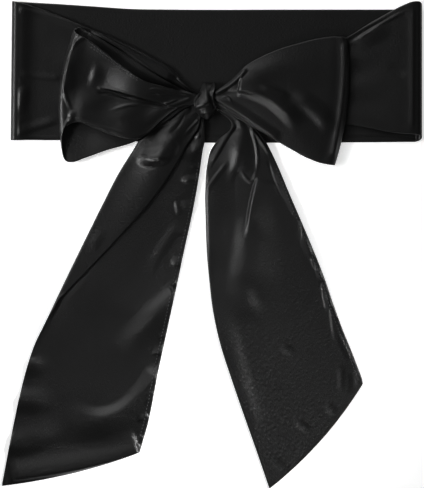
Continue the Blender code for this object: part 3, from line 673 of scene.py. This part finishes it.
TAIL_RIGHT_SEAM_CREASES = [
    Crease(44, 64, 54, 39.5, 63, 21, 1.5, 4.5, 0.7, 0.1, 0.5, 0.1),
    Crease(63, 19.5, 64.5, 12, 64.5, 3, 1.1, 1.5, -0.6, 0.4, 0.2, 0.3),
    Crease(66.5, 9, 70.5, -0.5, 74, -10.5, 1.5, 6.5, 0.8, 0.1, 0.3, 0.2),
    Crease(72.5, -7.5, 74, -14, 76.5, -21, 1.1, 1.5, -0.6, 0.4, 0.2, 0.3),
    Crease(77, -15.5, 79.5, -22, 82, -29, 1.5, 4.5, 0.7, 0.1, 0.2, 0.2),
    Crease(80.5, -26.5, 82, -38, 84.5, -49.5, 1.5, 1.5, -0.7, 0.4, 0.1, 0.2),
    Crease(84.5, -37, 87, -44, 89, -50.5, 1.5, 3, 0.5, 0.1, 0.3, 0.3),
    Crease(87, -45, 88.5, -58, 90.5, -72, 1.9, 1.9, -0.6, 0.4, 0.1, 0.3),
    Crease(92, -64, 98, -77, 103, -87.5, 1.5, 3.7, 0.4, 0.2, 0.2, 0.3),
    Crease(41, 62.5, 45, 47.5, 52, 32.5, 1.5, 2.2, -0.6, 0.2, 0.2, 0.3),
    Crease(50.5, -75, 55.5, -78.5, 62.5, -81.5, 5, 5, -0.35, 0, 0.4, 0.4),
    Crease(83, -117, 87.5, -122.5, 92.5, -126, 5, 5, -0.35, 0, 0.4, 0.4),
    Crease(60, -130.5, 66.5, -135, 73.5, -139.5, 4.5, 4.5, -0.35, 0, 0.4, 0.4),
    Crease(42.5, -158.5, 48, -163, 57, -167.5, 5, 5, -0.3, 0, 0.4, 0.4),
    Crease(94, -87.5, 95, -99.5, 94, -111, 3.7, 3.7, -0.35, 0, 0.4, 0.4),
    Crease(101.5, -92, 104, -101, 101.5, -111, 4.5, 4.5, 0.4, 0, 0.4, 0.4),
]
grid = lofted(TAIL_RIGHT, 100, 2)
creased(grid, TAIL_RIGHT_CREASES + TAIL_RIGHT_SEAM_CREASES)
laid_on(grid, tops)
stretch("tail_right_satin", "tail_right", grid, cloth_places(TAIL_RIGHT, 100), tops)
seam = slice(row_of(TAIL_RIGHT, 6), row_of(TAIL_RIGHT, 15))
sewn("tail_right_stitches", grid[seam, -4], grid_normals(grid)[seam, -4])

# The bow's left loop.
# The ribbon runs out from the knot, rounds over softly and comes back on top, where its seamed edge
# shows as a double line. The upper layer stands open and sags in the middle.
LOOP_LEFT = [
    Section(-9.5, 109.5, 5.0, -9.5, 104.5, 5.0, 0, 0, 0),
    Section(-19.0, 112.5, 4.8, -19.0, 101.5, 4.8, 0, 0, 0.2),
    Section(-35.5, 121.0, 4.4, -35.5, 90.5, 8.0, 0, 0, 0.5),
    Section(-56.0, 134.0, 4.0, -56.0, 76.8, 8.4, 0, 0, 0.7),
    Section(-79.0, 149.0, 3.8, -80.0, 69.2, 7.6, 0, 0.8, 0.4),
    Section(-92.5, 156.8, 4.0, -95.0, 63.9, 6.2, 0, 2.0, 0),
    Section(-99.8, 159.8, 5.2, -104.5, 60.9, 5.6, 0, 4.8, 0),
    Section(-102.2, 158.4, 8.2, -108.8, 61.6, 5.2, 0, 6.4, 0),
    Section(-101.6, 156.2, 11.2, -111.6, 74.0, 11.2, 0.4, 5.6, 0),
    Section(-99.6, 154.6, 12.8, -110.0, 85.0, 13.2, 0.8, 5.0, 0),
    Section(-91.5, 150.0, 12.0, -100.0, 90.2, 12.8, 0, 2.6, 0.2),
    Section(-84.0, 144.5, 11.4, -88.0, 86.0, 12.8, 0, 0.8, 0.3),
    Section(-72.5, 135.5, 11.4, -74.0, 80.7, 13.0, 0, 0, 0.3),
    Section(-61.5, 127.0, 11.4, -62.0, 78.2, 13.0, 0, 0, 0.3),
    Section(-51.0, 120.2, 11.4, -51.0, 79.8, 12.4, 0, 0, 0.3),
    Section(-38.5, 116.5, 11.2, -38.0, 91.5, 11.8, 0, 0, 0.3),
    Section(-25.5, 112.8, 10.6, -25.0, 101.2, 11.2, 0, 0, 0.2),
    Section(-9.5, 109.5, 10.2, -9.5, 104.0, 10.4, 0, 0, 0),
]
LOOP_LEFT_CREASES = [
    Crease(-92.5, 153.5, -101.5, 149, -108.5, 138.5, 2.6, 1.5, 0.9, 0.3, 0.1, 0.3),
    Crease(-107.5, 141.5, -111.5, 129, -110.5, 111, 11, 1.5, 1.3, 0.3, 0.5, 0.2),
    Crease(-111.5, 123, -109, 109, -104, 98, 2.2, 1.6, 0.8, 0.2, 0.3, 0.3),
    Crease(-104, 99.5, -107, 91, -112, 84, 4.5, 1.9, 0.9, 0.2, 0.2, 0.2),
    Crease(-67.5, 157, -76.5, 144.5, -84.5, 126, 19.5, 28, 4.8, 0.4, 0.05, 0.6),
    Crease(-84, 135, -87.5, 124.5, -91, 113.5, 9, 4.5, 1.2, 0.4, 0.5, 0.5),
    Crease(-46.5, 144, -51.5, 125.5, -56.5, 107.5, 44.5, 32.5, 5.4, 0, 0.02, 0.05),
    Crease(-86, 115, -72, 113.5, -56.5, 107.5, 1.6, 1.3, 0.8, 0.4, 0.1, 0.3),
    Crease(-86, 112, -72, 110, -55.5, 105.5, 1.3, 2.2, -1.2, 0.3, 0.2, 0.3),
    Crease(-100, 118.5, -95.5, 103, -98.5, 89, 26.5, 13.5, 2.4, 0.1, 0.6, 0.15),
    Crease(-78, 97, -57, 103, -35, 100, 1.6, 1.6, 0.7, 0.5, 0.3, 0.15),
    Crease(-36.5, 100, -27.5, 103, -15.5, 108.5, 1.9, 1.9, 0.5, 0.4, 0.2, 0.1),
    Crease(-75, 108.5, -68, 92.5, -61.5, 75.5, 29.5, 25, 2.4, 0.2, 0.5, 0.05),
    Crease(-107, 92.5, -85.5, 87, -56.5, 79, 2.2, 3, 1.3, 0.2, 0.05, 0.5),
    Crease(-47.5, 114, -37, 114, -26, 111, 1.1, 1.1, 0.6, 0.5, 0.2, 0.2),
    Crease(-46, 111, -38, 110.5, -29, 108.5, 1.1, 1.1, -0.5, 0.3, 0.2, 0.2),
    Crease(-42.5, 112, -39.5, 110, -36.5, 107.5, 1, 1, 0.5, 0.3, 0.3, 0.3),
    Crease(-36.5, 104, -32, 104.5, -26, 107, 1.1, 1.1, 0.7, 0.3, 0.3, 0.3),
    Crease(-54, 121.5, -39.5, 118, -15.5, 108.5, 1.5, 1.9, 0.8, 0.3, 0.2, 0.1),
]


def looped(sections, columns, gathers, creases, turn, tops):
    """A stretch that goes out in a lower layer and comes back on top, with a free bend between them."""
    lower_end = row_of(sections, turn[0]) + 1
    upper_from = row_of(sections, turn[1])
    grid = lofted(sections, columns, gathers)
    creased(grid[upper_from:], creases)
    lower_lift = laid_on(grid[:lower_end], tops, 6)
    with_lower = tops.copied()
    with_lower.cover(grid[:lower_end])
    upper_lift = laid_on(grid[upper_from:], with_lower)
    for i in range(lower_end, upper_from):
        share = (i - lower_end + 1) / (upper_from - lower_end + 1)
        grid[i, :, 2] += lower_lift[-1] * (1 - share) + upper_lift[0] * share
    return grid


grid = looped(LOOP_LEFT, 112, 2, LOOP_LEFT_CREASES, (5, 9), tops)
stretch("bow_loop_left_satin", "bow_loop_left", grid, cloth_places(LOOP_LEFT, 112), tops)
seam = slice(row_of(LOOP_LEFT, 10), row_of(LOOP_LEFT, 14))
sewn("loop_left_outer_stitches", grid[seam, 2], grid_normals(grid)[seam, 2])
sewn("loop_left_inner_stitches", grid[seam, 6], grid_normals(grid)[seam, 6])

# The bow's right loop.
# It is made as the left one, and lies flatter.
LOOP_RIGHT = [
    Section(-1.5, 109.5, 5.0, -1.5, 104.5, 5.0, 0, 0, 0),
    Section(12.0, 117.5, 4.8, 11.0, 99.0, 4.8, 0, 0, 0.2),
    Section(36.5, 137.0, 4.2, 33.0, 85.0, 4.2, 0, 0, 0.5),
    Section(64.5, 147.0, 4.0, 60.0, 69.4, 3.0, 0, 0, 0.4),
    Section(85.0, 151.0, 4.0, 78.0, 60.8, 2.4, 0, -2.0, 0),
    Section(96.2, 152.0, 4.6, 87.0, 58.9, 3.0, 0, -4.2, 0),
    Section(99.4, 152.0, 6.3, 90.0, 58.5, 4.9, 0, -5.0, 0),
    Section(98.0, 152.4, 8.0, 88.6, 58.8, 6.7, 0.2, -4.6, 0),
    Section(90.5, 153.2, 8.7, 80.0, 60.2, 7.5, 0.8, -3.4, 0),
    Section(79.5, 152.0, 8.9, 70.0, 63.8, 7.7, 1.0, -1.4, 0.1),
    Section(64.5, 148.5, 9.2, 56.0, 71.4, 8.0, 1.2, 0, 0.2),
    Section(49.5, 144.0, 9.4, 42.0, 79.6, 8.2, 1.2, 0, 0.3),
    Section(36.5, 138.5, 9.4, 30.0, 86.6, 8.2, 1.2, 0, 0.4),
    Section(25.0, 132.0, 9.2, 19.0, 92.8, 8.0, 1.0, 0, 0.4),
    Section(14.0, 121.5, 8.6, 10.5, 98.2, 7.8, 0.8, 0, 0.4),
    Section(-1.5, 110.0, 7.8, -1.5, 104.0, 7.6, 0, 0, 0),
]
LOOP_RIGHT_CREASES = [
    Crease(98, 150, 97, 110.5, 89, 63, 1.1, 4.5, 1.1, 0.3, 0.05, 0.05),
    Crease(14, 115.5, 36.5, 126, 66, 136.5, 12, 9, 0.4, 0, 0.1, 0.4),
    Crease(18.5, 115.5, 44, 106, 65.5, 83, 12.5, 7.5, 2.9, 0.3, 0.03, 0.3),
    Crease(9.5, 115, 25, 112.5, 39.5, 108.5, 7.5, 1.9, 1, 0.3, 0.2, 0.4),
    Crease(54, 109, 73.5, 100, 89, 81.5, 10.5, 8, 1.7, 0, 0.35, 0.3),
    Crease(33.5, 117, 46, 113.5, 58, 108.5, 1.9, 6.5, 0.6, 0.3, 0.3, 0.3),
    Crease(0, 108.5, 26, 92.5, 49, 76, 6.5, 1.8, 1.3, 0.3, 0.05, 0.1),
    Crease(-0.5, 110.5, 13.5, 118.5, 25, 130.5, 2.6, 2.6, 1.6, 0.2, 0.05, 0.12),
    Crease(6.5, 107.5, 11, 108.5, 14, 102.5, 1.1, 1.1, 0.5, 0.4, 0.3, 0.3),
]
grid = looped(LOOP_RIGHT, 112, 2, LOOP_RIGHT_CREASES, (5, 7), tops)
stretch("bow_loop_right_satin", "bow_loop_right", grid, cloth_places(LOOP_RIGHT, 112), tops)

# The knot.
# A short stretch of the ribbon is wrapped over the middle of the bow and pulled tight. It is built in
# rows down the picture, each with its left and right side and its highest point.
KnotRow = namedtuple("KnotRow", "y left right top")
KNOT = [
    KnotRow(119.2, -6.6, 0.6, 3.4),
    KnotRow(117.6, -7.8, 1.5, 6.2),
    KnotRow(114.6, -8.8, 1.2, 9.6),
    KnotRow(111.0, -10.6, 0.2, 12.2),
    KnotRow(107.4, -13.2, 0.4, 13.8),
    KnotRow(104.0, -13.7, 1.2, 14.6),
    KnotRow(100.6, -13.2, 2.1, 14.6),
    KnotRow(97.4, -11.9, 1.0, 13.4),
    KnotRow(94.8, -9.2, -1.0, 10.8),
    KnotRow(92.4, -6.6, -2.8, 7.2),
]
KNOT_CREASES = [
    Crease(-15, 100, -8, 102.5, -1.5, 105.5, 7.5, 2.2, 1.8, 0.2, 0.1, 0.2),
    Crease(-11, 96, -4.5, 97, 1.5, 100, 1.6, 1.2, 0.8, 0.3, 0.1, 0.1),
    Crease(-6, 119.5, -5, 111, -3, 104, 1.5, 1.5, 0.9, 0.3, 0.1, 0.3),
    Crease(0, 112.5, -0.5, 107.5, 0, 102.5, 1.2, 1.2, 0.8, 0.3, 0.3, 0.3),
    Crease(-10.5, 115.5, -9.5, 112, -9, 108.5, 1.5, 1.5, -0.5, 0.2, 0.3, 0.3),
]
KNOT_ROWS = 60
KNOT_COLUMNS = 40
rows = np.linspace(0.0, len(KNOT) - 1.0, KNOT_ROWS)
table = smooth_between(np.arange(len(KNOT), dtype=float), np.array(KNOT, float), rows)
y, left, right, top = np.split(table, 4, axis=1)
across = np.linspace(-1.0, 1.0, KNOT_COLUMNS)[None, :]
x = (left + right) / 2 + (right - left) / 2 * across
rounded = 0.35 + 0.65 * np.sqrt(1 - 0.85 * across**2)
grid = np.stack([x, np.repeat(y, KNOT_COLUMNS, axis=1), top * rounded - 0.5 * CLOTH], axis=2)
creased(grid, KNOT_CREASES)
laid_on(grid, tops)
places = np.meshgrid(
    np.linspace(0.0, 40.0, KNOT_ROWS), np.linspace(0.0, 24.0, KNOT_COLUMNS), indexing="ij"
)
stretch("knot_satin", "knot", grid, places, tops)

# The table, lights and camera.
# The sash lies on white paper in a soft photo studio, with the camera straight above. These sizes are
# in metres.
FLOOR_HALF = 3.0
FLOOR_DROP = 0.0003  # keeps the paper off the underside of the cloth
edges = [(-FLOOR_HALF, -FLOOR_HALF, 0), (FLOOR_HALF, -FLOOR_HALF, 0),
         (FLOOR_HALF, FLOOR_HALF, 0), (-FLOOR_HALF, FLOOR_HALF, 0)]
floor_mesh = bpy.data.meshes.new("floor")
floor_mesh.from_pydata(edges, [], [(0, 1, 2, 3)])
paper, paper_shader = principled("white_paper", (0.92, 0.92, 0.92))
paper_shader.inputs["Roughness"].default_value = 0.9
paper_shader.inputs["Emission Color"].default_value = (1, 1, 1, 1)
paper_shader.inputs["Emission Strength"].default_value = 0.6
floor_mesh.materials.append(paper)
floor = placed("floor", floor_mesh)
floor.location = (0, 0, -FLOOR_DROP)


def softbox(name, place, aim, size, power, spread=180):
    """A lamp. A spread under 180 degrees is a grid on it, which keeps its light on a small patch."""
    light = bpy.data.lights.new(name, "AREA")
    light.spread = math.radians(spread)
    light.shape = "RECTANGLE"
    light.size, light.size_y = size
    light.energy = power
    lamp = placed(name, light)
    lamp.location = place
    towards = np.array(aim) - np.array(place)
    yaw = math.atan2(towards[1], towards[0]) - math.pi / 2
    tilt = math.atan2(math.hypot(towards[0], towards[1]), -towards[2])
    lamp.rotation_euler = (tilt, 0.0, yaw)


# One large soft light, and three small ones that bring out the tails, the bow and its right loop.
softbox("upper_light", (-1.15, 2.0, 1.5), (0, 0, 0), (2.0, 1.6), 29)
softbox("right_light", (0.93, 0.14, 0.8), (-0.05, -0.15, 0), (0.15, 0.15), 0.17, 14)
softbox("left_light", (-0.8, 0.02, 0.65), (-0.02, 0.115, 0), (0.2, 0.2), 0.2, 28)
softbox("loop_light", (-0.45, -0.6, 0.75), (0.055, 0.115, 0), (0.12, 0.12), 0.016, 12)

world = bpy.data.worlds.new("studio")
world.use_nodes = True
world.node_tree.nodes["Background"].inputs["Color"].default_value = (1, 1, 1, 1)
world.node_tree.nodes["Background"].inputs["Strength"].default_value = 0.06
bpy.context.scene.world = world

FRAME_HEIGHT = 0.3619  # of the picture, on the table
FOCAL = 300.0
SENSOR = 36.0
lens = bpy.data.cameras.new("camera")
lens.lens = FOCAL
lens.sensor_width = SENSOR
lens.clip_end = 20.0
camera = placed("camera", lens)
camera.location = (-0.00016, 0.00065, FRAME_HEIGHT * FOCAL / SENSOR)
bpy.context.scene.camera = camera
bpy.context.scene.view_settings.view_transform = "Standard"
